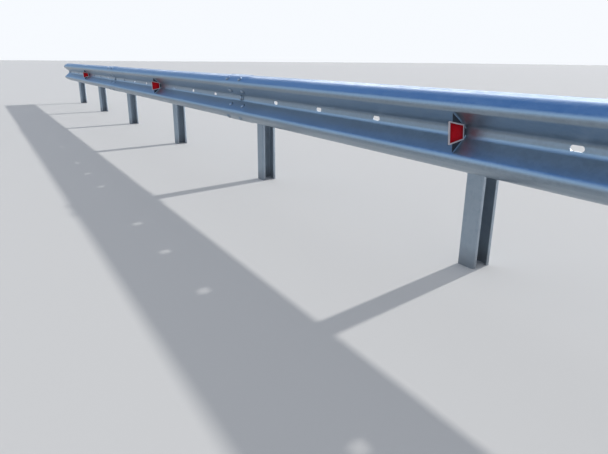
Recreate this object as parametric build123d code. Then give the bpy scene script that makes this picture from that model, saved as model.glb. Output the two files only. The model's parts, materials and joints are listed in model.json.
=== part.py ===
# Roadside guardrail: six bays of a two-wave steel rail on bent channel posts.
# Millimetres. +X runs along the rail, to the right as seen from the road.
# +Y points away from the road and +Z is up. The origin is in the cut end of the
# middle post, at ground level, in the middle of the flange that faces the road.
import os
from math import atan2, cos, degrees, hypot, pi, radians, sin, sqrt, tan

from build123d import *

# Row
bay_count = 6
bay_length = 2000.0
bays_per_rail = 2

# Rail sheet, bent to two waves. Depths are measured from the back plane.
rail_height = 312.0
rail_depth = 83.0
rail_sheet = 4.0
rail_centre_height = 600.0
brow_depth = 45.0
brow_drop = 14.0
crest_pitch = 194.0
crest_straight = 2.0
valley_flat = 44.0
brow_radius = 22.0
crest_radius = 23.0
valley_radius = 20.0

# Lap where one rail is bolted over the next
lap_length = 320.0
lap_clearance = 0.3
lap_step_length = 40.0
lap_step_margin = 5.0
splice_hole_diameter = 18.0
splice_column_spacing = 200.0

# Slots along the middle of the rail, one of them at each post
slots_per_bay = 4
slot_length = 50.0
slot_width = 20.0

# Posts: cold-bent lipped channel, open side towards +X
post_top_over_rail_centre = 120.0
post_width = 88.0
post_depth = 110.0
post_lip = 22.0
post_sheet = 5.0
post_bend_radius = 8.0
post_bolt_hole = 18.0
post_bolt_spacing = 110.0

# Spacer between rail and post: a bent channel, open side towards +X
spacer_depth = 128.0
spacer_width = 80.0
spacer_height = 200.0
spacer_sheet = 5.0
spacer_bend_radius = 8.0

# Reflectors: a dark bent plate held by the rail bolt, with a reflecting panel on each side
reflector_every = 2
reflector_offset = 48.0
reflector_lean = 5.5
reflector_sheet = 2.0
reflector_bend_radius = 3.0
reflector_strap_height = 24.0
reflector_strap_overhang = 24.0
reflector_strap_hole = 17.0
reflector_back_stand_off = 4.5
reflector_back_width = 68.0
reflector_back_inner_height = 34.0
reflector_back_outer_height = 148.0
reflector_panel_stand_off = 12.0
reflector_panel_width = 80.0
reflector_panel_inner_height = 58.0
reflector_panel_outer_height = 90.0
reflector_panel_corner_radius = 4.0
reflector_panel_sheet = 1.5

# Derived places
post_height = rail_centre_height + post_top_over_rail_centre
post_front = -post_sheet / 2
rail_back = post_front - spacer_depth
rail_floor = rail_back - rail_sheet
row_start = -bay_count * bay_length / 2
post_lines = [row_start + bay_length * number for number in range(bay_count + 1)]


def corner_turns(points):
    """Turn at each inner corner of an open line, in radians, left turns positive."""
    turns = []
    for before, corner, after in zip(points, points[1:], points[2:]):
        heading_in = atan2(corner[1] - before[1], corner[0] - before[0])
        heading_out = atan2(after[1] - corner[1], after[0] - corner[0])
        turn = (heading_out - heading_in + pi) % (2 * pi) - pi
        turns.append(turn)
    return turns


def shifted_line(points, distance):
    """Corners of an open line moved to its left by a distance."""
    turns = [0.0] + corner_turns(points) + [0.0]
    moved = []
    for number, (point, turn) in enumerate(zip(points, turns)):
        start = points[number - 1] if number else point
        end = point if number else points[1]
        heading = atan2(end[1] - start[1], end[0] - start[0]) + turn / 2
        reach = distance / cos(turn / 2)
        moved.append((point[0] - reach * sin(heading), point[1] + reach * cos(heading)))
    return moved


def bent_sheet(points, sheet, radii, shift=0.0):
    """Section of a bent sheet whose middle line has these corners and bend radii."""
    turns = corner_turns(points)
    sides = []
    for distance in (shift + sheet / 2, shift - sheet / 2):
        corners = shifted_line(points, distance)
        side_radii = [
            radius - distance if turn > 0 else radius + distance
            for radius, turn in zip(radii, turns)
        ]
        sides.append(FilletPolyline(*corners, radius=side_radii))
    first_end = Line(sides[0] @ 0, sides[1] @ 0)
    last_end = Line(sides[0] @ 1, sides[1] @ 1)
    return make_face([sides[0], sides[1], first_end, last_end])


def rail_line():
    """Middle line of the rail's section as (y, z) corners, from the top edge down.

    The two corners of a crest lie as far apart as their bends need, so that a
    straight is left between them. They settle in a few rounds, because the bends
    depend on the slopes and the slopes on the corners.
    """
    floor = rail_back - rail_sheet / 2
    crest = rail_back - rail_depth + rail_sheet / 2
    edge = (rail_height - rail_sheet) / 2
    brow = (rail_back - brow_depth, edge - brow_drop)
    rise = drop = crest_radius / 2
    for settling_round in range(12):
        crest_corners = [(crest, crest_pitch / 2 + rise), (crest, crest_pitch / 2 - drop)]
        upper_half = [(floor, edge), brow] + crest_corners + [(floor, valley_flat / 2)]
        turns = corner_turns(upper_half)
        rise = crest_straight / 2 + crest_radius * tan(turns[1] / 2)
        drop = crest_straight / 2 + crest_radius * tan(turns[2] / 2)
    lower_half = [(y, -z) for y, z in reversed(upper_half)]
    return [(y, rail_centre_height + z) for y, z in upper_half + lower_half]


def rail_section(x, shift):
    """Rail section at a place along the row, moved towards the road by a shift."""
    half = [brow_radius, crest_radius, crest_radius, valley_radius]
    section = bent_sheet(rail_line(), rail_sheet, half + half[::-1], -shift)
    return Plane.YZ.offset(x) * section


def punch(place, length, width, depth, is_round):
    """Solid that cuts a slot, or a hole where length and width are equal.

    It reaches to a depth on both sides of the place. Openings that a bolt fills
    are drawn with eight sides in place of a round edge, which keeps them light.
    """
    if is_round:
        outline = SlotOverall(length, width) if length > width else Circle(width / 2)
    else:
        corner = width * (1 - sqrt(0.5))
        outline = chamfer(Rectangle(length, width).vertices(), corner)
    return extrude(place * outline, depth, both=True)


def splice_axes():
    """Point and outward direction in the (y, z) plane of each row of splice holes."""
    line = rail_line()
    radii = {1: brow_radius, 2: crest_radius, 3: crest_radius, 4: valley_radius}
    turns = corner_turns(line)
    axes = []
    for first, last in ((1, 2), (3, 4)):
        start, end = line[first], line[last]
        length = hypot(end[0] - start[0], end[1] - start[1])
        trim_start = radii[first] * tan(abs(turns[first - 1]) / 2)
        trim_end = radii[last] * tan(abs(turns[last - 1]) / 2)
        share = (trim_start + length - trim_end) / 2 / length
        y = start[0] + share * (end[0] - start[0])
        z = start[1] + share * (end[1] - start[1])
        across = ((end[1] - start[1]) / length, -(end[0] - start[0]) / length)
        axes.append((y, z, across[0], across[1]))
        axes.append((y, 2 * rail_centre_height - z, across[0], -across[1]))
    return axes


def make_rail(laps_over_neighbour, free_ends):
    """One rail, centred on x = 0. Its -X end can lap over the next rail.

    free_ends holds -1 where the -X end has no neighbour and 1 where the +X end has none.
    """
    span = bays_per_rail * bay_length
    half_length = (span + lap_length) / 2
    lap_shift = rail_sheet + lap_clearance
    lap_end = -half_length
    step_start = -span / 2 + lap_length / 2 + lap_step_margin
    step_end = step_start + lap_step_length
    if laps_over_neighbour:
        lap = extrude(rail_section(lap_end, lap_shift), step_start - lap_end)
        step = loft([rail_section(step_start, lap_shift), rail_section(step_end, 0)], ruled=True)
        body = extrude(rail_section(step_end, 0), half_length - step_end)
        rail = body + step + lap
    else:
        rail = extrude(rail_section(lap_end, 0), 2 * half_length)
    cuts = []
    slot_depth = 2 * lap_shift
    for number in range(bays_per_rail * slots_per_bay + 1):
        x = number * bay_length / slots_per_bay - span / 2
        place = Plane.XZ.offset(-rail_floor) * Pos(x, rail_centre_height)
        is_free = number % slots_per_bay != 0
        cuts.append(punch(place, slot_length, slot_width, slot_depth, is_free))
    for y, z, across_y, across_z in splice_axes():
        for end in (-1, 1):
            for side in (-1, 1):
                x = end * span / 2 + side * splice_column_spacing / 2
                place = Plane((x, y, z), (1, 0, 0), (0, across_y, across_z))
                is_last = end in free_ends and side == end
                diameter = splice_hole_diameter
                cuts.append(punch(place, diameter, diameter, 2 * lap_shift, is_last))
    return rail - cuts


def make_post():
    """One post on x = 0, from ground level up."""
    open_side = (post_width - post_sheet) / 2
    back = post_depth - post_sheet
    line = [
        (open_side, post_lip - post_sheet / 2),
        (open_side, 0),
        (-open_side, 0),
        (-open_side, back),
        (open_side, back),
        (open_side, back - post_lip + post_sheet / 2),
    ]
    post = extrude(bent_sheet(line, post_sheet, [post_bend_radius] * 4), post_height)
    return post - post_bolt_cuts(0)


def make_spacer():
    """One spacer on x = 0, between the rail's valley and the post's front flange."""
    open_side = spacer_width / 2
    web = -(spacer_width - spacer_sheet) / 2
    front = rail_back + spacer_sheet / 2
    back = post_front - spacer_sheet / 2
    line = [(open_side, front), (web, front), (web, back), (open_side, back)]
    section = bent_sheet(line, spacer_sheet, [spacer_bend_radius] * 2)
    spacer = Pos(0, 0, rail_centre_height - spacer_height / 2) * extrude(section, spacer_height)
    rail_bolt_place = Plane.XZ.offset(-front) * Pos(0, rail_centre_height)
    rail_bolt_cut = punch(rail_bolt_place, post_bolt_hole, post_bolt_hole, spacer_sheet, False)
    return spacer - rail_bolt_cut - post_bolt_cuts(back)


def post_bolt_cuts(y):
    """Cuts for the two bolts that hold a spacer to its post, around a wall at y."""
    cuts = []
    for side in (-1, 1):
        place = Plane.XZ.offset(-y) * Pos(0, rail_centre_height + side * post_bolt_spacing / 2)
        depth = max(post_sheet, spacer_sheet)
        cuts.append(punch(place, post_bolt_hole, post_bolt_hole, depth, False))
    return cuts


def tapered_outline(stand_off, width, inner_height, outer_height):
    """Outline that widens from the rail outwards, around the rail's centre height."""
    inner = rail_floor - stand_off
    outer = inner - width
    corners = [
        (inner, inner_height / 2),
        (outer, outer_height / 2),
        (outer, -outer_height / 2),
        (inner, -inner_height / 2),
    ]
    return Polygon(*corners, align=None)


def make_reflector_plate():
    """Strap on the valley floor, bent outwards into the plate between the two waves.

    The bend leans, so that the strap lies level and the plate's top is drawn back.
    """
    lean = radians(reflector_lean)
    floor = rail_floor - reflector_sheet / 2
    outer = rail_floor - reflector_back_stand_off - reflector_back_width
    plate_x = reflector_offset - reflector_sheet / 2
    spare = reflector_back_outer_height / 2 * tan(lean)
    line = [(-reflector_strap_overhang - spare, floor), (plate_x, floor), (plate_x, outer)]
    section = bent_sheet(line, reflector_sheet, [reflector_bend_radius])
    foot = Pos(spare, 0, rail_centre_height - reflector_back_outer_height / 2)
    along_bend = (-sin(lean), 0, cos(lean))
    blank = foot * extrude(section, reflector_back_outer_height / cos(lean), dir=along_bend)
    neck = Pos(rail_floor - reflector_back_stand_off, 0) * Rectangle(
        2 * reflector_back_stand_off, reflector_strap_height)
    back = tapered_outline(
        reflector_back_stand_off, reflector_back_width, reflector_back_inner_height, reflector_back_outer_height)
    outline = Plane.YZ.offset(-reflector_strap_overhang) * Pos(0, rail_centre_height) * (neck + back)
    plate = blank & extrude(outline, reflector_strap_overhang + reflector_offset + spare)
    hole_place = Plane.XZ.offset(-floor) * Pos(0, rail_centre_height)
    return plate - punch(hole_place, reflector_strap_hole, reflector_strap_hole, reflector_sheet, False)


def make_reflector_panel(side):
    """Reflecting panel on the +X or -X side of the plate."""
    lean = radians(reflector_lean)
    near = reflector_offset if side > 0 else reflector_offset - reflector_sheet
    surface = Plane((near, 0, rail_centre_height), (0, 1, 0), (cos(lean), 0, sin(lean)))
    panel = tapered_outline(
        reflector_panel_stand_off, reflector_panel_width, reflector_panel_inner_height,
        reflector_panel_outer_height)
    outer_corners = panel.vertices().sort_by(Axis.X)[:2]
    panel = fillet(outer_corners, reflector_panel_corner_radius)
    return extrude(surface * panel, side * reflector_panel_sheet)


def build_nodes():
    """Every piece by name, each at its own place in the row."""
    nodes = {}
    post = make_post()
    spacer = make_spacer()
    for number, x in enumerate(post_lines, 1):
        nodes[f"post_{number}"] = Pos(x, 0, 0) * post
        nodes[f"spacer_{number}"] = Pos(x, 0, 0) * spacer
    rail_span = bays_per_rail * bay_length
    rail_count = bay_count // bays_per_rail
    for number in range(rail_count):
        free_ends = [-1] if number == 0 else []
        if number == rail_count - 1:
            free_ends.append(1)
        rail = make_rail(number > 0, free_ends)
        middle = row_start + (number + 0.5) * rail_span
        nodes[f"rail_{number + 1}"] = Pos(middle, 0, 0) * rail
    plate = make_reflector_plate()
    red_panel = make_reflector_panel(1)
    white_panel = make_reflector_panel(-1)
    for number, x in enumerate(post_lines[1::reflector_every], 1):
        nodes[f"reflector_plate_{number}"] = Pos(x, 0, 0) * plate
        nodes[f"reflector_red_panel_{number}"] = Pos(x, 0, 0) * red_panel
        nodes[f"reflector_white_panel_{number}"] = Pos(x, 0, 0) * white_panel
    return nodes


os.makedirs("parts", exist_ok=True)
for name, shape in build_nodes().items():
    export_step(shape, f"parts/{name}.step")

for y, z, across_y, across_z in splice_axes():
    tilt = degrees(atan2(across_z, across_y))
    print(f"splice row y {y:.3f} z {z:.3f} direction {across_y:.5f} {across_z:.5f} at {tilt:.2f} degrees")
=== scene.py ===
import json
from math import cos, pi, radians, sin, tan

import bmesh
import bpy
from mathutils import Matrix, Vector


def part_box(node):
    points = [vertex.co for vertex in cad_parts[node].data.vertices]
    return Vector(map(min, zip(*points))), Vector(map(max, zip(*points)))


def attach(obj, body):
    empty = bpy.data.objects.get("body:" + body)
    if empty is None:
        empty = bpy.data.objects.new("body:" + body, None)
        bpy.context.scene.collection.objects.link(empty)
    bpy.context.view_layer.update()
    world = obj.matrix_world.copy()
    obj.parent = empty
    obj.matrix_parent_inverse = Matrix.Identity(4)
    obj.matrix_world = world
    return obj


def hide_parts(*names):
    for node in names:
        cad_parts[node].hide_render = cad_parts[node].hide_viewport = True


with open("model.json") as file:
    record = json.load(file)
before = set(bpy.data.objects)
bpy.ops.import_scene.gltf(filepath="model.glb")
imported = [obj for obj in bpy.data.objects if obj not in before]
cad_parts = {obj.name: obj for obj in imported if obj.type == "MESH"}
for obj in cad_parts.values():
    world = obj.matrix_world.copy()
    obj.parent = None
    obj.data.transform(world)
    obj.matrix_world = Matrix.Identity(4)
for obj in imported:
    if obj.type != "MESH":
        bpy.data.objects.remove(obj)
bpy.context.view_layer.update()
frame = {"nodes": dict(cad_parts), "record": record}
nodes = frame["nodes"]

# Row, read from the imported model
post_count = sum(name.startswith("post_") for name in nodes)
rail_count = sum(name.startswith("rail_") for name in nodes)
post_lines = [sum(corner.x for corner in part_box(f"post_{n + 1}")) / 2 for n in range(post_count)]
bay_length = post_lines[1] - post_lines[0]

# Sizes of the pieces. The rail's brow and valley are bent a little more softly than in the
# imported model, so that their highlights are as broad as the photograph's.
sheet_of_rail = 0.004
sheet_of_post = 0.005
rail_height = 0.312
brow_depth = 0.045
brow_drop = 0.014
crest_pitch = 0.194
crest_straight = 0.002
valley_flat = 0.040
brow_radius = 0.080
crest_radius = 0.023
valley_radius = 0.026
rail_fold_radii = [brow_radius, crest_radius, crest_radius, valley_radius]
rail_fold_radii += rail_fold_radii[::-1]
lap_length = 0.320
lap_shift = 0.0043
lap_step_start = 0.165
lap_step_length = 0.040
splice_columns = (-0.1, 0.1)
slots_per_bay = 4
slot_length = 0.050
slot_width = 0.020
bolt_hole = 0.018
post_lip = 0.022
bend_radius = 0.008
post_fold_steps = 6
post_bolt_heights = (-0.055, 0.055)
cutter_sides = 32
cutter_depth = 0.030
settling_rounds = 12

# Sizes of a reflector: a dark plate on a strap, and the panels on its two sides.
# It stands off a post line by its offset, measured at the rail's centre height.
sheet_of_strap = 0.002
strap_reach = 0.024
strap_height = 0.024
strap_hole = 0.017
strap_bend_radius = 0.003
reflector_offset = 0.048
reflector_lean = radians(5.5)
back_stand_off = 0.0045
back_shoulder = 0.0005
back_width = 0.068
back_inner_height = 0.034
back_outer_height = 0.148
panel_stand_off = 0.012
panel_width = 0.080
panel_inner_height = 0.058
panel_outer_height = 0.090
panel_corner_reach = 0.0048
panel_sheet = 0.0015
panel_rim = 0.005
panel_field_depth = 0.0004

# Bolts and nuts
round_sides = 32
head_radius = 0.017
head_rim = 0.0025
head_dome = 0.0075
dome_rings = 6
nut_across = 0.024
nut_height = 0.0132
nut_chamfer = 0.08 * nut_across
turned_sides = 48
turned_share = 0.998
hexagon_head_height = 0.010
# The thread is narrower at its start and at its tip, and its root is a share of its crest
thread_sides = 20
thread_radius = 0.008
thread_start_share = 0.92
thread_tip_share = 0.8
thread_root_share = 0.9
thread_pitch = 0.004
thread_start = 0.001
thread_half_turns = 8
washer_radius = 0.015
washer_thickness = 0.003
plate_length = 0.070
plate_width = 0.024
plate_thickness = 0.004

# Way to the road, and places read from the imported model
toward_road = Vector((0, -1, 0))
rail_low, rail_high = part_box("rail_1")
post_low, post_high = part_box("post_1")
spacer_low, spacer_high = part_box("spacer_1")
strap_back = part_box("reflector_plate_1")[1].y
rail_centre = (rail_low.z + rail_high.z) / 2
rail_floor = rail_high.y - sheet_of_rail / 2
rail_crest = rail_low.y + sheet_of_rail / 2
lap_lines = post_lines[2:-1:2]
reflector_lines = [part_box(name)[0].x + strap_reach for name in nodes if name.startswith("reflector_plate")]
mount_places = {mount["name"]: mount["pos_m"] for mount in frame["record"]["mounts"]}
splice_rows = [mount_places[f"left_splice_{row}"][1:] for row in ("top", "upper", "lower", "bottom")]

# Camera, fitted to the photograph's frame
image_width = 608
focal_length_px = 519.014
sensor_width = 36.0
camera_place = Vector((5.4464, -1.71227, 0.856978))
camera_yaw = 0.547
camera_pitch = 0.311
camera_roll = 0.009

# Light
sun_direction = Vector((-0.15, 0.84, 0.53))
sun_strength = 2.6
sun_width = radians(1.5)
sun_colour = (1.0, 0.97, 0.92)
fill_strength = 0.62
fill_colour = (0.93, 0.98, 1.07, 1)
backdrop_colour = (0.93, 0.96, 1.0, 1)
floor_colour = (0.60, 0.60, 0.60, 1)
floor_size = 400.0
# The sky seen in the metal: overhead, and low over the road and along the row
zenith_colour = (0.08, 0.31, 0.80, 1)
road_side_colour = (0.74, 0.98, 1.24, 1)
row_end_colour = (0.34, 0.50, 0.70, 1)
# Long soft panels over the row, seen in the metal: degrees up from behind the rail to the panel's
# middle, degrees to where it is full and where it is gone, colour and strength
soft_lights = (
    (15, 6, 44, (1.0, 0.98, 0.96, 1), 6.0),
    (148, 4, 24, (0.80, 1.0, 1.2, 1), 0.22),
)


class Value:
    """A socket that a number, colour or vector comes out of."""

    def __init__(self, finish, socket):
        self.finish = finish
        self.socket = socket

    def other(self, output):
        """Another output of the node that this one comes out of."""
        return Value(self.finish, self.socket.node.outputs[output])

    def __add__(self, other):
        return self.finish.maths("ADD", self, other)

    def __sub__(self, other):
        return self.finish.maths("SUBTRACT", self, other)

    def __mul__(self, other):
        return self.finish.maths("MULTIPLY", self, other)


class Finish:
    """A node tree, with short ways to make its nodes."""

    def __init__(self, tree):
        self.tree = tree

    def node(self, kind, settings=None, inputs=None, output=0):
        """Makes a node, sets it, then links or fills its sockets. Returns one output."""
        made = self.tree.nodes.new(kind)
        for name, setting in (settings or {}).items():
            setattr(made, name, setting)
        for name, value in (inputs or {}).items():
            if isinstance(value, Value):
                self.tree.links.new(value.socket, made.inputs[name])
            else:
                made.inputs[name].default_value = value
        return Value(self, made.outputs[output]) if made.outputs else None

    def maths(self, operation, *inputs):
        """Maths on its inputs, in order."""
        return self.node("ShaderNodeMath", {"operation": operation}, dict(enumerate(inputs)))

    def vectors(self, operation, *inputs, output=0):
        """Vector maths on its inputs, in order."""
        return self.node("ShaderNodeVectorMath", {"operation": operation}, dict(enumerate(inputs)), output)

    def place(self, scale=(1, 1, 1)):
        """Object coordinates, in metres, times a scale for each axis."""
        point = self.node("ShaderNodeTexCoord", output="Object")
        return self.node("ShaderNodeMapping", None, {"Vector": point, "Scale": scale})

    def part_of_place(self, axis):
        """Object coordinate along one axis, in metres."""
        point = self.node("ShaderNodeTexCoord", output="Object")
        return self.node("ShaderNodeSeparateXYZ", None, {"Vector": point}, output=axis)

    def noise(self, scale, detail=2.0, stretch=(1, 1, 1)):
        """Cloudy pattern from 0 to 1, with a scale in features a metre."""
        return self.node("ShaderNodeTexNoise", None, {
            "Vector": self.place(stretch), "Scale": scale, "Detail": detail})

    def ramp(self, value, low, high, to_low=0.0, to_high=1.0):
        """Smooth step of a value from one range to another."""
        return self.node("ShaderNodeMapRange", {"interpolation_type": "SMOOTHSTEP"}, {
            "Value": value, "From Min": low, "From Max": high, "To Min": to_low, "To Max": to_high})

    def blend(self, share, first, second):
        """Mix of two colours."""
        return self.node("ShaderNodeMix", {"data_type": "RGBA"}, {0: share, 6: first, 7: second}, output=2)

    def bump(self, height, distance, strength=1.0, normal=None):
        """Normal bent by a height, on top of another normal if one is given."""
        inputs = {"Height": height, "Distance": distance, "Strength": strength}
        if normal:
            inputs["Normal"] = normal
        return self.node("ShaderNodeBump", None, inputs)


def new_material(name, constants):
    """A material, its Finish and its shader, with these values on the shader's own sockets."""
    material = bpy.data.materials.new(name)
    material.use_nodes = True
    shader = material.node_tree.nodes["Principled BSDF"]
    for socket, value in constants.items():
        shader.inputs[socket].default_value = value
    return material, Finish(material.node_tree), shader


def connect(finish, shader, links):
    """Links values to the shader's sockets."""
    for socket, value in links.items():
        finish.tree.links.new(value.socket, shader.inputs[socket])


# Zinc: how far its crystals lean, and the colour of the painted shade that darkens a post's foot
crystal_tilt = 0.022
foot_shade_colour = (0.20, 0.20, 0.20, 1)


def galvanised(name, light, dark, metallic, roughness, crystal_size, streak_stretch, foot_shade_height=0.0):
    """Hot-dip zinc: crystals, streaks along the sheet, cloudy patches, a fine grain, and painted shade
    darkening the foot.
    """
    material, finish, shader = new_material(name, {"Metallic": metallic})
    wobble = finish.node("ShaderNodeTexNoise", None, {
        "Vector": finish.place(), "Scale": 1.5 / crystal_size, "Detail": 2.0}, output="Color")
    crystal_place = finish.vectors("MULTIPLY_ADD", wobble, (crystal_size * 0.6,) * 3, finish.place())
    chance = finish.node("ShaderNodeTexVoronoi", None, {
        "Vector": crystal_place, "Scale": 1 / crystal_size}, output="Color")
    crystal = finish.node("ShaderNodeSeparateColor", None, {"Color": chance})
    offset = finish.vectors("SUBTRACT", crystal_place, chance.other("Position"))
    lean = finish.vectors("SUBTRACT", chance, (0.5, 0.5, 0.5))
    facets = finish.vectors("DOT_PRODUCT", offset, lean, output="Value")
    streaks = finish.noise(1.0, 3.0, streak_stretch)
    clouds = finish.noise(4.0, 3.0, (0.5, 1.0, 1.0))
    shine = finish.noise(14.0, 4.0, (0.6, 1.0, 1.0))
    grain = finish.noise(900.0, 2.0)
    paleness = clouds * 0.42 + streaks * 0.28 + crystal * 0.26 + shine * 0.2 + grain * 0.12 - 0.18
    colour = finish.blend(paleness, dark, light)
    rough = (crystal - 0.5) * 0.12 + (streaks - 0.5) * 0.12 + (shine - 0.5) * 0.16 + roughness
    # Painted shade: within the given height the colour darkens towards the foot and turns rougher
    if foot_shade_height:
        above = finish.part_of_place("Z")
        foot_shade = finish.ramp(above + (shine - 0.5) * 0.08, 0.0, foot_shade_height, 0.55, 0.0)
        colour = finish.blend(foot_shade, colour, foot_shade_colour)
        rough = rough + foot_shade * 0.3
    normal = finish.bump(facets, crystal_tilt)
    normal = finish.bump(grain * 0.1 + streaks * 0.6, 0.0004, 0.5, normal)
    waves = finish.noise(1.0, 1.0, (2.2, 5.0, 5.0))
    normal = finish.bump(waves, 0.010, 0.5, normal)
    connect(finish, shader, {"Base Color": colour, "Roughness": rough, "Normal": normal})
    return material


rail_finish = galvanised(
    "galvanised rail", light=(0.36, 0.43, 0.50, 1), dark=(0.23, 0.29, 0.35, 1),
    metallic=0.86, roughness=0.38, crystal_size=0.014, streak_stretch=(0.9, 40.0, 40.0))
# The post's finish paints shade that darkens its lowest 0.11 m
post_finish = galvanised(
    "galvanised post", light=(0.41, 0.46, 0.50, 1), dark=(0.26, 0.32, 0.38, 1),
    metallic=0.50, roughness=0.50, crystal_size=0.018, streak_stretch=(40.0, 40.0, 1.6), foot_shade_height=0.11)
bolt_finish = galvanised(
    "galvanised bolt", light=(0.37, 0.43, 0.49, 1), dark=(0.23, 0.28, 0.34, 1),
    metallic=0.70, roughness=0.42, crystal_size=0.006, streak_stretch=(30.0, 30.0, 30.0))


def dimmed(colour, share):
    """The same colour with less light in it."""
    return tuple(share * part for part in colour[:3]) + (1,)


def painted(name, colour, chip, roughness):
    """Thin paint, a little chalky, with a few scratches down to a second colour."""
    material, finish, shader = new_material(name, {"Metallic": 0.0})
    clouds = finish.noise(45.0, 4.0)
    scratches = finish.ramp(finish.noise(1.0, 3.0, (60.0, 500.0, 90.0)), 0.66, 0.72)
    dim = dimmed(colour, 0.78)
    paint = finish.blend(clouds, dim, colour)
    height = finish.noise(700.0, 2.0) * 0.5 - scratches * 0.6
    connect(finish, shader, {
        "Base Color": finish.blend(scratches * 0.6, paint, chip),
        "Roughness": clouds * 0.2 + scratches * 0.1 + roughness,
        "Normal": finish.bump(height, 0.0002, 0.5)})
    return material


def reflecting(name, colour, seam_colour, cell_size):
    """Reflecting sheet: a honeycomb of small cells, brightest in the middle and darker towards its rim."""
    material, finish, shader = new_material(name, {"Specular IOR Level": 0.2})
    cells = {"Vector": finish.place((0.2, 1.0, 1.0)), "Scale": 1 / cell_size, "Randomness": 0.25}
    seam = finish.node("ShaderNodeTexVoronoi", {"feature": "DISTANCE_TO_EDGE"}, cells)
    tone = finish.node("ShaderNodeTexVoronoi", None, cells, output="Color")
    tone = finish.node("ShaderNodeSeparateColor", None, {"Color": tone})
    seam = finish.ramp(seam, 0.03, 0.10, 1.0, 0.0)
    clouds = finish.noise(35.0, 4.0)
    middle = rail_floor - sheet_of_rail / 2 - panel_stand_off - panel_width / 2
    off_across = (finish.part_of_place("Y") - middle) * (2 / panel_width)
    off_upward = (finish.part_of_place("Z") - rail_centre) * (2.3 / panel_outer_height)
    off_middle = finish.maths("MAXIMUM", off_across * off_across, off_upward * off_upward)
    # Darker and rougher towards the panel's rim, with cloudy variation
    rim_darkening = finish.ramp(off_middle + (clouds - 0.5) * 0.5, 0.05, 0.85)
    dim = dimmed(colour, 0.45)
    base = finish.blend(rim_darkening * 0.8 + tone * 0.2, colour, dim)
    base = finish.blend(seam * 0.35, base, seam_colour)
    connect(finish, shader, {
        "Base Color": base,
        "Roughness": rim_darkening * 0.2 + 0.28,
        "Normal": finish.bump(seam - tone * 0.4, 0.0002, 0.6)})
    return material


back_finish = painted(
    "reflector plate", colour=(0.040, 0.050, 0.068, 1), chip=(0.16, 0.17, 0.19, 1), roughness=0.5)
rim_finish = painted(
    "reflector rim", colour=(0.80, 0.72, 0.74, 1), chip=(0.42, 0.40, 0.42, 1), roughness=0.4)
red_finish = reflecting(
    "red sheet", colour=(0.72, 0.001, 0.008, 1), seam_colour=(0.66, 0.02, 0.03, 1), cell_size=0.0034)
white_finish = reflecting(
    "white sheet", colour=(0.66, 0.68, 0.70, 1), seam_colour=(0.80, 0.82, 0.84, 1), cell_size=0.0034)


def deselect():
    """Selects nothing."""
    for item in bpy.context.selected_objects:
        item.select_set(False)


def activate(piece):
    """Selects one piece alone and makes it the active one."""
    deselect()
    piece.select_set(True)
    bpy.context.view_layer.objects.active = piece


def edit(piece, select_mode="EDGE"):
    """Opens a piece for shaping with nothing selected in it."""
    activate(piece)
    bpy.ops.object.mode_set(mode="EDIT")
    bpy.ops.mesh.select_mode(type=select_mode)
    bpy.ops.mesh.select_all(action="DESELECT")


def close_edit():
    """Back to whole pieces after shaping one."""
    bpy.ops.object.mode_set(mode="OBJECT")


def choose(piece, kind, test):
    """Selects the vertices, edges or faces of a piece in edit mode that pass a test."""
    mesh = bmesh.from_edit_mesh(piece.data)
    bpy.ops.mesh.select_all(action="DESELECT")
    for item in getattr(mesh, kind):
        if test(item):
            item.select_set(True)
    bmesh.update_edit_mesh(piece.data)


def on_line(point, direction):
    """Test for edges that lie on a line."""
    unit = direction.normalized()

    def test(edge):
        return all((vert.co - point).cross(unit).length < 1e-5 for vert in edge.verts)
    return test


def apply_modifier(piece, kind, **settings):
    """Adds a modifier, sets it and applies it."""
    activate(piece)
    modifier = piece.modifiers.new(kind.lower(), kind)
    for name, value in settings.items():
        setattr(modifier, name, value)
    bpy.ops.object.modifier_apply(modifier=modifier.name)


def folded_sheet(name, corners, radii, run, fold_steps=8):
    """A sheet extruded leg by leg through the corners of its section, then folded.

    corners are points of the sheet's middle at one end; run leads to the other end.
    """
    along, across = run.normalized(), (corners[1] - corners[0]).normalized()
    turned = Matrix((along, across, along.cross(across))).transposed().to_4x4()
    size = Matrix.Diagonal((run.length, (corners[1] - corners[0]).length, 1, 1))
    middle = corners[0] + (run + corners[1] - corners[0]) / 2
    deselect()
    bpy.ops.mesh.primitive_plane_add(size=1.0)
    piece = bpy.context.object
    piece.name = piece.data.name = name
    piece.matrix_world = Matrix.Translation(middle) @ turned @ size
    bpy.ops.object.transform_apply()
    edit(piece)
    choose(piece, "edges", on_line(corners[1], run))
    for start, end in zip(corners[1:], corners[2:]):
        bpy.ops.mesh.extrude_region_move(TRANSFORM_OT_translate={"value": end - start})
    for number, radius in enumerate(radii, 1):
        leg_in = corners[number] - corners[number - 1]
        leg_out = corners[number + 1] - corners[number]
        choose(piece, "edges", on_line(corners[number], run))
        bpy.ops.mesh.bevel(
            offset=radius * tan(leg_in.angle(leg_out) / 2), segments=fold_steps, profile=0.5, affect="EDGES")
    bpy.ops.mesh.select_all(action="SELECT")
    bpy.ops.mesh.normals_make_consistent(inside=False)
    close_edit()
    return piece


def thicken(piece, sheet):
    """Gives a folded surface its sheet, half to each side."""
    apply_modifier(piece, "SOLIDIFY", thickness=sheet, offset=0.0, use_even_offset=True)


def soften(piece, width=0.0006, angle=radians(50)):
    """Rounds the cut edges and shades the rest smooth, flats staying flat."""
    apply_modifier(piece, "BEVEL", width=width, segments=2, limit_method="ANGLE", angle_limit=angle)
    activate(piece)
    bpy.ops.object.shade_smooth_by_angle(angle=radians(40))
    apply_modifier(piece, "WEIGHTED_NORMAL", keep_sharp=True)


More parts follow.
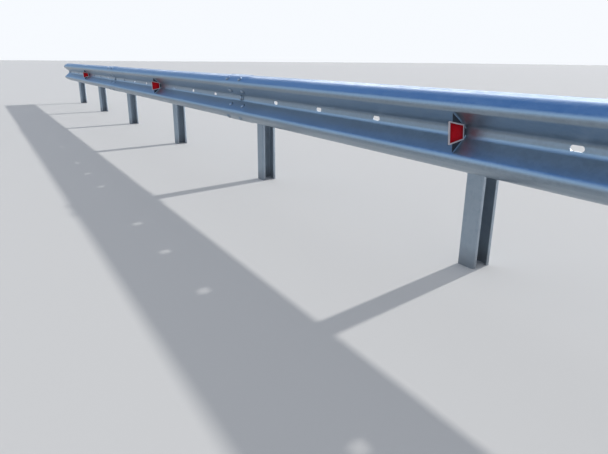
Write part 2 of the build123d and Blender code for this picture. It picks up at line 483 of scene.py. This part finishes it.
def cut(piece, places):
    """Cuts slots and holes, each given as (centre, axis, length, width); length runs along X."""
    cutters = []
    half_side = Matrix.Rotation(pi / cutter_sides, 3, "Z").to_quaternion()
    for centre, axis, length, width in places:
        turn = axis.to_track_quat("Z", "Y") @ half_side
        deselect()
        bpy.ops.mesh.primitive_cylinder_add(
            vertices=cutter_sides, radius=width / 2, depth=cutter_depth, location=centre,
            rotation=turn.to_euler())
        cutter = bpy.context.object
        bpy.ops.object.transform_apply()
        edit(cutter, "VERT")
        for side in (-1, 1):
            choose(cutter, "verts", lambda vert: side * (vert.co.x - centre.x) > 0)
            bpy.ops.transform.translate(value=(side * (length - width) / 2, 0, 0))
        close_edit()
        cutters.append(cutter)
    joined = join(cutters, "cutters")
    apply_modifier(piece, "BOOLEAN", object=joined, operation="DIFFERENCE", solver="EXACT")
    bpy.data.objects.remove(joined)


def join(pieces, name):
    """One mesh from several."""
    activate(pieces[0])
    for piece in pieces:
        piece.select_set(True)
    if len(pieces) > 1:
        bpy.ops.object.join()
    joined = bpy.context.object
    joined.name = joined.data.name = name
    return joined


def copy_to(piece, matrix, name):
    """A copy with its own mesh, at a place given by a matrix."""
    copy = piece.copy()
    copy.data = piece.data.copy()
    copy.data.transform(matrix)
    copy.name = copy.data.name = name
    bpy.context.collection.objects.link(copy)
    return copy


def rail_corners(x):
    """Middle line of the rail's section at a place along the row, from the top edge down."""
    edge = (rail_height - sheet_of_rail) / 2
    brow = Vector((x, rail_high.y - brow_depth, edge - brow_drop))
    valley = Vector((x, rail_floor, valley_flat / 2))
    rise = drop = crest_radius / 2
    for settling_round in range(settling_rounds):
        upper = Vector((x, rail_crest, crest_pitch / 2 + rise))
        lower = Vector((x, rail_crest, crest_pitch / 2 - drop))
        rise = crest_straight / 2 + crest_radius * tan((upper - brow).angle(lower - upper) / 2)
        drop = crest_straight / 2 + crest_radius * tan((lower - upper).angle(valley - lower) / 2)
    upper_half = [Vector((x, rail_floor, edge)), brow, upper, lower, valley]
    lower_half = [Vector((x, point.y, -point.z)) for point in reversed(upper_half)]
    return [point + Vector((0, 0, rail_centre)) for point in upper_half + lower_half]


def splice_places(x):
    """Centre and outward direction of the four holes of one splice column."""
    corners = rail_corners(x)
    places = []
    for first, (row_y, row_z) in zip((1, 3, 5, 7), splice_rows):
        start, end = corners[first], corners[first + 1]
        slope = (end - start).normalized()
        centre = start + slope * (Vector((x, row_y, row_z)) - start).dot(slope)
        outward = slope.cross(Vector((1, 0, 0)))
        places.append((centre, outward if outward.y < 0 else -outward))
    return places


def model_rail(number):
    """One rail of two waves; all but the first lap over the rail before, on the road side."""
    low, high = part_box(f"rail_{number}")
    run = Vector((high.x - low.x, 0, 0))
    rail = folded_sheet(f"rail_sheet_{number}", rail_corners(low.x), rail_fold_radii, run)
    first_line = low.x + lap_length / 2
    last_line = high.x - lap_length / 2
    if number > 1:
        edit(rail, "VERT")
        step_start = first_line + lap_step_start
        for x in (step_start, step_start + lap_step_length):
            bpy.ops.mesh.select_all(action="SELECT")
            bpy.ops.mesh.bisect(plane_co=(x, 0, 0), plane_no=(1, 0, 0))
        choose(rail, "verts", lambda vert: vert.co.x < step_start + 1e-4)
        side = -1 if rail.data.polygons[0].normal.y > 0 else 1
        bpy.ops.transform.shrink_fatten(value=side * lap_shift, use_even_offset=True)
        close_edit()
    thicken(rail, sheet_of_rail)
    slot_count = round((last_line - first_line) / bay_length * slots_per_bay) + 1
    places = []
    for slot in range(slot_count):
        centre = Vector((first_line + slot * bay_length / slots_per_bay, rail_floor, rail_centre))
        places.append((centre, toward_road, slot_length, slot_width))
    for line in (first_line, last_line):
        for column in splice_columns:
            for centre, outward in splice_places(line + column):
                places.append((centre, outward, bolt_hole, bolt_hole))
    cut(rail, places)
    soften(rail)
    return rail


def model_post():
    """One lipped channel post at x = 0."""
    half = (post_high.x - post_low.x) / 2 - sheet_of_post / 2
    front, back = post_low.y + sheet_of_post / 2, post_high.y - sheet_of_post / 2
    lip = post_lip - sheet_of_post / 2
    outline = (
        (half, front + lip), (half, front), (-half, front), (-half, back), (half, back), (half, back - lip))
    corners = [Vector((x, y, post_low.z)) for x, y in outline]
    run = Vector((0, 0, post_high.z - post_low.z))
    post = folded_sheet("post", corners, [bend_radius] * 4, run, post_fold_steps)
    thicken(post, sheet_of_post)
    cut(post, [
        (Vector((0, front, rail_centre + height)), toward_road, bolt_hole, bolt_hole)
        for height in post_bolt_heights])
    soften(post)
    return post


def model_spacer():
    """One channel spacer at x = 0, between the rail and a post."""
    half = (spacer_high.x - spacer_low.x) / 2
    front, back = spacer_low.y + sheet_of_post / 2, spacer_high.y - sheet_of_post / 2
    web = sheet_of_post / 2 - half
    outline = ((half, front), (web, front), (web, back), (half, back))
    corners = [Vector((x, y, spacer_low.z)) for x, y in outline]
    run = Vector((0, 0, spacer_high.z - spacer_low.z))
    spacer = folded_sheet("spacer", corners, [bend_radius] * 2, run, post_fold_steps)
    thicken(spacer, sheet_of_post)
    places = [(Vector((0, front, rail_centre)), toward_road, bolt_hole, bolt_hole)]
    for height in post_bolt_heights:
        places.append((Vector((0, back, rail_centre + height)), toward_road, bolt_hole, bolt_hole))
    cut(spacer, places)
    soften(spacer)
    return spacer


def round_bar(name, sides, radius, length, base=0.0):
    """A short bar that stands on z = base."""
    deselect()
    bpy.ops.mesh.primitive_cylinder_add(
        vertices=sides, radius=radius, depth=length, location=(0, 0, base + length / 2))
    bar = bpy.context.object
    bar.name = bar.data.name = name
    bpy.ops.object.transform_apply()
    return bar


def top_face(face):
    """Test for faces that look up."""
    return face.normal.z > 0.99


def model_bolt_head():
    """A low dome with a thin rim, standing on z = 0."""
    head = round_bar("bolt head", round_sides, head_radius, head_rim)
    edit(head, "FACE")
    choose(head, "faces", top_face)
    for ring in range(dome_rings):
        angle, next_angle = (pi / 2 * (ring + step) / (dome_rings + 0.5) for step in (0, 1))
        rise = head_dome * (sin(next_angle) - sin(angle))
        shrink = cos(next_angle) / cos(angle)
        bpy.ops.mesh.extrude_region_move(TRANSFORM_OT_translate={"value": (0, 0, rise)})
        bpy.ops.transform.resize(value=(shrink, shrink, 1))
    close_edit()
    soften(head, 0.0004, radians(60))
    return head


def hexagon_body(height, base):
    """A hexagon whose corners are turned down at its outer end."""
    corner_radius = nut_across / 2 / cos(pi / 6)
    nut = round_bar("hexagon", 6, corner_radius, height, base)
    turned = round_bar("turned", turned_sides, corner_radius * turned_share, height, base)
    edit(turned)
    choose(turned, "edges", lambda edge: all(vert.co.z > base + height / 2 for vert in edge.verts))
    bpy.ops.mesh.bevel(offset=nut_chamfer, segments=1, affect="EDGES")
    close_edit()
    apply_modifier(nut, "BOOLEAN", object=turned, operation="INTERSECT", solver="EXACT")
    bpy.data.objects.remove(turned)
    soften(nut, 0.0003, radians(25))
    return nut


def model_washer():
    """A round washer, lying on z = 0."""
    washer = round_bar("washer", round_sides, washer_radius, washer_thickness)
    soften(washer, 0.0005)
    return washer


def model_hexagon_head():
    """A bolt's hexagon head on a washer, standing on z = 0."""
    return join([model_washer(), hexagon_body(hexagon_head_height, washer_thickness)], "hexagon head")


def model_nut():
    """A hexagon nut on a washer, with the bolt's threaded end, standing on z = 0."""
    washer = model_washer()
    nut = hexagon_body(nut_height, washer_thickness)
    start_radius = thread_radius * thread_start_share
    thread = round_bar("thread", thread_sides, start_radius, thread_start, washer_thickness + nut_height)
    edit(thread, "FACE")
    choose(thread, "faces", top_face)
    for half_turn in range(thread_half_turns):
        swell = 1 / thread_root_share if half_turn % 2 == 0 else thread_root_share
        bpy.ops.mesh.extrude_region_move(TRANSFORM_OT_translate={"value": (0, 0, thread_pitch / 2)})
        bpy.ops.transform.resize(value=(swell, swell, 1))
    bpy.ops.mesh.extrude_region_move(TRANSFORM_OT_translate={"value": (0, 0, thread_pitch / 2)})
    bpy.ops.transform.resize(value=(thread_tip_share, thread_tip_share, 1))
    close_edit()
    activate(thread)
    bpy.ops.object.shade_smooth_by_angle(angle=radians(35))
    return join([washer, nut, thread], "nut")


def model_washer_plate():
    """The oblong plate under the head of a rail's post bolt, standing on z = 0."""
    plate = round_bar("washer plate", round_sides, plate_width / 2, plate_thickness)
    edit(plate, "VERT")
    for side in (-1, 1):
        choose(plate, "verts", lambda vert: side * vert.co.x > 1e-5)
        bpy.ops.transform.translate(value=(side * (plate_length - plate_width) / 2, 0, 0))
    close_edit()
    soften(plate, 0.0006)
    return plate


def model_reflector_plate():
    """Strap under a rail bolt at x = 0, with a neck that opens into the plate between the waves."""
    seat = rail_floor - sheet_of_rail / 2 - sheet_of_strap / 2
    plate_x = reflector_offset - sheet_of_strap / 2
    inner = rail_floor - sheet_of_rail / 2 - back_stand_off
    deselect()
    bpy.ops.mesh.primitive_plane_add(
        size=1.0, location=((plate_x - strap_reach) / 2, seat, rail_centre), rotation=(pi / 2, 0, 0))
    plate = bpy.context.object
    plate.scale = (plate_x + strap_reach, strap_height, 1)
    bpy.ops.object.transform_apply()
    edit(plate)
    fold = on_line(Vector((plate_x, seat, 0)), Vector((0, 0, 1)))
    choose(plate, "edges", fold)
    reached, last_height = seat, strap_height
    stages = (
        (inner, strap_height),
        (inner - back_shoulder, back_inner_height),
        (inner - back_width, back_outer_height))
    for end, height in stages:
        bpy.ops.mesh.extrude_region_move(TRANSFORM_OT_translate={"value": (0, end - reached, 0)})
        bpy.ops.transform.resize(
            value=(1, 1, height / last_height), center_override=(plate_x, end, rail_centre))
        reached, last_height = end, height
    choose(plate, "edges", fold)
    bpy.ops.mesh.bevel(offset=strap_bend_radius, segments=5, profile=0.5, affect="EDGES")
    close_edit()
    edit(plate, "VERT")
    choose(plate, "verts", lambda vert: vert.co.y < inner + 1e-5)
    bpy.ops.transform.rotate(
        value=reflector_lean, orient_axis="Y", center_override=(plate_x, inner, rail_centre))
    bpy.ops.mesh.select_all(action="SELECT")
    bpy.ops.mesh.normals_make_consistent(inside=False)
    close_edit()
    thicken(plate, sheet_of_strap)
    cut(plate, [(Vector((0, seat, rail_centre)), toward_road, strap_hole, strap_hole)])
    soften(plate, 0.0003)
    return plate


def model_panel(side, field_finish):
    """Tapered panel on one side of the plane x = 0, around z = 0, its field sunk in a pale rim."""
    inner = rail_floor - sheet_of_rail / 2 - panel_stand_off
    outer = inner - panel_width
    deselect()
    bpy.ops.mesh.primitive_plane_add(
        size=1.0, location=(0, (inner + outer) / 2, 0), rotation=(0, pi / 2, 0))
    panel = bpy.context.object
    panel.scale = (panel_outer_height, panel_width, 1)
    bpy.ops.object.transform_apply()
    for finish in (rim_finish, field_finish):
        panel.data.materials.append(finish)
    edit(panel)
    choose(panel, "edges", on_line(Vector((0, inner, 0)), Vector((0, 0, 1))))
    bpy.ops.transform.resize(
        value=(1, 1, panel_inner_height / panel_outer_height), center_override=(0, inner, 0))
    close_edit()
    edit(panel, "VERT")
    choose(panel, "verts", lambda vert: abs(vert.co.y - outer) < 1e-5)
    bpy.ops.mesh.bevel(offset=panel_corner_reach, segments=5, profile=0.5, affect="VERTICES")
    close_edit()
    apply_modifier(panel, "SOLIDIFY", thickness=panel_sheet, offset=float(side))
    edit(panel, "FACE")
    choose(panel, "faces", lambda face: side * face.normal.x > 0.9)
    bpy.ops.mesh.inset(thickness=panel_rim, depth=0.0)
    bpy.ops.mesh.inset(thickness=panel_field_depth, depth=-panel_field_depth)
    for face in bmesh.from_edit_mesh(panel.data).faces:
        if face.select:
            face.material_index = 1
    close_edit()
    soften(panel, 0.0002)
    return panel


def stood_on(point, outward):
    """Matrix that stands a piece of hardware on a point, its own Z outwards, its X along the row."""
    along = Vector((1, 0, 0))
    side = outward.cross(along)
    return Matrix.Translation(point) @ Matrix((along, side, outward)).transposed().to_4x4()


def bolt_through(centre, outward, out_to, back_to, head, nut, plate=None):
    """Copies of a head and a nut at both ends of one bolt, at distances from a centre."""
    parts = [
        copy_to(head, stood_on(centre + outward * out_to, outward), "head"),
        copy_to(nut, stood_on(centre - outward * back_to, -outward), "nut")]
    if plate:
        under_head = centre + outward * (out_to - plate_thickness)
        parts.append(copy_to(plate, stood_on(under_head, outward), "plate"))
    return parts


def bolts_for_post(number, head, hexagon, nut, plate):
    """Bolt through the rail and the two bolts between spacer and post."""
    x = post_lines[number - 1]
    seat = rail_floor - sheet_of_rail / 2
    if any(abs(x - line) < 1e-3 for line in reflector_lines):
        seat = strap_back - sheet_of_strap
    if any(abs(x - line) < 1e-3 for line in lap_lines):
        seat -= lap_shift
    rail_bolt = Vector((x, 0, rail_centre))
    wall = rail_high.y + sheet_of_post
    parts = bolt_through(rail_bolt, toward_road, plate_thickness - seat, wall, head, nut, plate)
    for height in post_bolt_heights:
        centre = Vector((x, 0, rail_centre + height))
        parts += bolt_through(
            centre, toward_road, sheet_of_post - post_low.y, post_low.y + sheet_of_post, hexagon, nut)
    return join(parts, f"post_bolts_{number}")


def bolts_for_lap(line, number, head, nut):
    """Eight bolts through two lapped rails."""
    parts = []
    for column in splice_columns:
        for centre, outward in splice_places(line + column):
            parts += bolt_through(
                centre, outward, lap_shift + sheet_of_rail / 2, sheet_of_rail / 2, head, nut)
    return join(parts, f"splice_bolts_{number}")


def settle(piece, finish, replaced=None):
    """Gives a finished piece its material, if it has none yet and its body."""
    if finish:
        piece.data.materials.clear()
        piece.data.materials.append(finish)
    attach(piece, "root")
    if replaced:
        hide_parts(replaced)


def make_row():
    """Rails, posts, spacers and their bolts."""
    for number in range(1, rail_count + 1):
        settle(model_rail(number), rail_finish, f"rail_{number}")
    post, spacer = model_post(), model_spacer()
    head, hexagon, nut, plate = model_bolt_head(), model_hexagon_head(), model_nut(), model_washer_plate()
    for number, x in enumerate(post_lines, 1):
        place = Matrix.Translation((x, 0, 0))
        settle(copy_to(post, place, f"post_sheet_{number}"),
               post_finish, f"post_{number}")
        settle(copy_to(spacer, place, f"spacer_sheet_{number}"),
               post_finish, f"spacer_{number}")
        settle(bolts_for_post(number, head, hexagon, nut, plate), bolt_finish)
    for number, line in enumerate(lap_lines, 1):
        settle(bolts_for_lap(line, number, head, nut), bolt_finish)
    for pattern in (post, spacer, head, hexagon, nut, plate):
        bpy.data.objects.remove(pattern)


def make_reflectors():
    """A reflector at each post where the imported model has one, red towards +X, white towards -X."""
    plate = model_reflector_plate()
    red_panel, white_panel = model_panel(1, red_finish), model_panel(-1, white_finish)
    lean = Matrix.Rotation(-reflector_lean, 4, "Y")
    for number, line in enumerate(sorted(reflector_lines), 1):
        settle(copy_to(plate, Matrix.Translation((line, 0, 0)), f"reflector_{number}"),
               back_finish, f"reflector_plate_{number}")
        front = Matrix.Translation((line + reflector_offset, 0, rail_centre))
        behind = Matrix.Translation((line + reflector_offset - sheet_of_strap, 0, rail_centre))
        settle(copy_to(red_panel, front @ lean, f"red_panel_{number}"),
               None, f"reflector_red_panel_{number}")
        settle(copy_to(white_panel, behind @ lean, f"white_panel_{number}"),
               None, f"reflector_white_panel_{number}")
    for pattern in (plate, red_panel, white_panel):
        bpy.data.objects.remove(pattern)


def make_floor():
    """Pale ground that keeps the shadows."""
    bpy.ops.mesh.primitive_plane_add(size=floor_size)
    floor = bpy.context.object
    floor.name = "floor"
    chalky = {"Base Color": floor_colour, "Roughness": 0.95, "Specular IOR Level": 0.1}
    floor.data.materials.append(new_material("floor", chalky)[0])


def make_world():
    """Plain light on the object, and a pale backdrop that is bluer overhead in reflections."""
    world = bpy.data.worlds.new("studio")
    bpy.context.scene.world = world
    world.use_nodes = True
    world.node_tree.nodes.clear()
    finish = Finish(world.node_tree)
    direction = finish.node("ShaderNodeTexCoord", output="Generated")
    along = finish.node("ShaderNodeSeparateXYZ", None, {"Vector": direction})
    away, up = along.other("Y"), along.other("Z")
    off_road = finish.ramp(away, -0.55, -0.10)
    overhead = finish.ramp(up + off_road * 0.22, 0.32, 0.80)
    behind_rail = finish.ramp(away, -0.35, 0.25)
    horizon = finish.blend(behind_rail, road_side_colour, backdrop_colour)
    down_the_row = finish.ramp(finish.maths("ABSOLUTE", along), 0.70, 0.97)
    horizon = finish.blend(down_the_row, horizon, row_end_colour)
    sky = finish.blend(overhead, horizon, zenith_colour)
    tilt = finish.maths("ARCTAN2", up, away)
    seen = finish.node("ShaderNodeBackground", None, {"Color": sky, "Strength": 1.0})
    # The soft panels fade out towards +X
    reach = finish.ramp(along, 0.50, 0.85, 1.0, 0.0)
    for middle, full, gone, colour, strength in soft_lights:
        off_middle = finish.maths("ABSOLUTE", tilt - radians(middle))
        share = finish.ramp(off_middle, radians(full), radians(gone), 1.0, 0.0)
        panel = finish.node("ShaderNodeBackground", None, {
            "Color": colour, "Strength": share * reach * strength})
        seen = finish.node("ShaderNodeAddShader", None, {0: seen, 1: panel})
    plain = finish.node("ShaderNodeBackground", None, {"Color": fill_colour, "Strength": fill_strength})
    backdrop = finish.node("ShaderNodeBackground", None, {"Color": backdrop_colour, "Strength": 1.0})
    camera = finish.node("ShaderNodeLightPath", output="Is Camera Ray")
    glossy = camera.other("Is Glossy Ray")
    through = camera.other("Is Transmission Ray")
    mirrored = finish.maths("MAXIMUM", glossy, through)
    mixed = finish.node("ShaderNodeMixShader", None, {0: mirrored, 1: plain, 2: seen})
    mixed = finish.node("ShaderNodeMixShader", None, {0: camera, 1: mixed, 2: backdrop})
    finish.node("ShaderNodeOutputWorld", None, {"Surface": mixed})


def make_sun():
    """One lamp for the sun, low behind the rail."""
    light = bpy.data.lights.new("sun", "SUN")
    light.energy = sun_strength
    light.angle = sun_width
    light.color = sun_colour
    sun = bpy.data.objects.new("sun", light)
    sun.rotation_euler = sun_direction.to_track_quat("Z", "Y").to_euler()
    bpy.context.collection.objects.link(sun)


def make_camera():
    """The photograph's camera."""
    forward = Vector((
        -cos(camera_yaw) * cos(camera_pitch), sin(camera_yaw) * cos(camera_pitch), -sin(camera_pitch)))
    level = Vector((sin(camera_yaw), cos(camera_yaw), 0))
    upright = level.cross(forward)
    right = level * cos(camera_roll) + upright * sin(camera_roll)
    up = upright * cos(camera_roll) - level * sin(camera_roll)
    data = bpy.data.cameras.new("camera")
    data.sensor_width = sensor_width
    data.lens = focal_length_px / image_width * sensor_width
    data.clip_start = 0.02
    data.clip_end = 1000.0
    camera = bpy.data.objects.new("camera", data)
    axes = Matrix((right, up, -forward)).transposed().to_4x4()
    camera.matrix_world = Matrix.Translation(camera_place) @ axes
    bpy.context.collection.objects.link(camera)
    bpy.context.scene.camera = camera


make_row()
make_reflectors()
make_floor()
make_world()
make_sun()
make_camera()
bpy.context.scene.view_settings.view_transform = "Standard"
